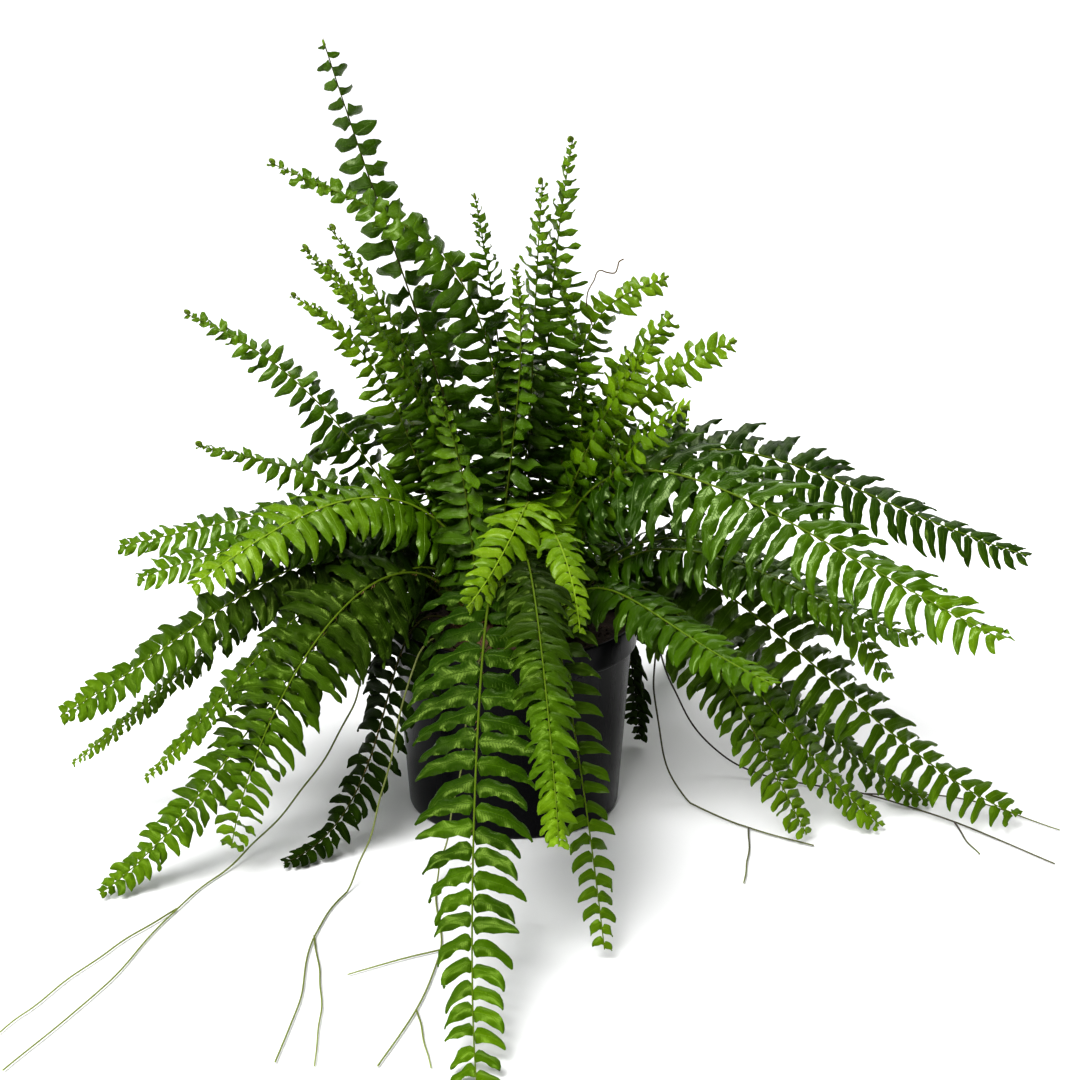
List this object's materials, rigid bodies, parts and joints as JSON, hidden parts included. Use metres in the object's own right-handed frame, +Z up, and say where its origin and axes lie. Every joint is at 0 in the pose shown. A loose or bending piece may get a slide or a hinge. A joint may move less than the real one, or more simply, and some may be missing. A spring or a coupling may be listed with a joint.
{
  "type": "potted fern",
  "caption": "Live sword fern with upright and arching fronds and trailing runners, growing in a plain dark plastic nursery pot.",
  "frame": {"origin": "centre of the pot's flat underside, on the surface that the pot stands on", "axes": "+Z up along the pot's axis, -Y towards the plant's front, where its longest frond hangs, +X to the right seen from the front"},
  "size_m": [0.7174, 0.7973, 0.546],
  "materials": {
    "pot": "satin",
    "soil": "matte",
    "crown": "matte",
    "mature_frond": "satin",
    "young_frond": "satin",
    "runner": "matte"
  },
  "bodies": {
    "root": {"pot": "pot", "soil": "soil", "crown": "crown", "hanging_frond_01": "mature_frond", "hanging_frond_02": "mature_frond", "hanging_frond_03": "mature_frond", "hanging_frond_04": "mature_frond", "hanging_frond_05": "mature_frond", "hanging_frond_06": "mature_frond", "hanging_frond_07": "mature_frond", "hanging_frond_08": "mature_frond", "hanging_frond_09": "mature_frond", "hanging_frond_10": "mature_frond", "hanging_frond_11": "mature_frond", "hanging_frond_12": "mature_frond", "hanging_frond_13": "mature_frond", "hanging_frond_14": "mature_frond", "hanging_frond_15": "mature_frond", "spreading_frond_01": "mature_frond", "spreading_frond_02": "mature_frond", "spreading_frond_03": "mature_frond", "spreading_frond_04": "mature_frond", "spreading_frond_05": "mature_frond", "spreading_frond_06": "mature_frond", "spreading_frond_07": "mature_frond", "spreading_frond_08": "mature_frond", "spreading_frond_09": "mature_frond", "spreading_frond_10": "mature_frond", "upright_frond_01": "young_frond", "upright_frond_02": "young_frond", "upright_frond_03": "young_frond", "upright_frond_04": "young_frond", "upright_frond_05": "young_frond", "upright_frond_06": "young_frond", "upright_frond_07": "young_frond", "upright_frond_08": "young_frond", "upright_frond_09": "young_frond", "upright_frond_10": "young_frond", "upright_frond_11": "young_frond", "upright_frond_12": "young_frond", "upright_frond_13": "young_frond", "upright_frond_14": "young_frond", "upright_frond_15": "young_frond", "upright_frond_16": "young_frond", "upright_frond_17": "young_frond", "upright_frond_18": "young_frond", "upright_frond_19": "young_frond", "upright_frond_20": "young_frond", "upright_frond_21": "young_frond", "rear_frond_01": "mature_frond", "rear_frond_02": "mature_frond", "rear_frond_03": "mature_frond", "rear_frond_04": "mature_frond", "rear_frond_05": "mature_frond", "rear_frond_06": "mature_frond", "runner_1": "runner", "runner_2": "runner", "runner_3": "runner", "runner_4": "runner", "runner_5": "runner"}
  },
  "joints": []
}
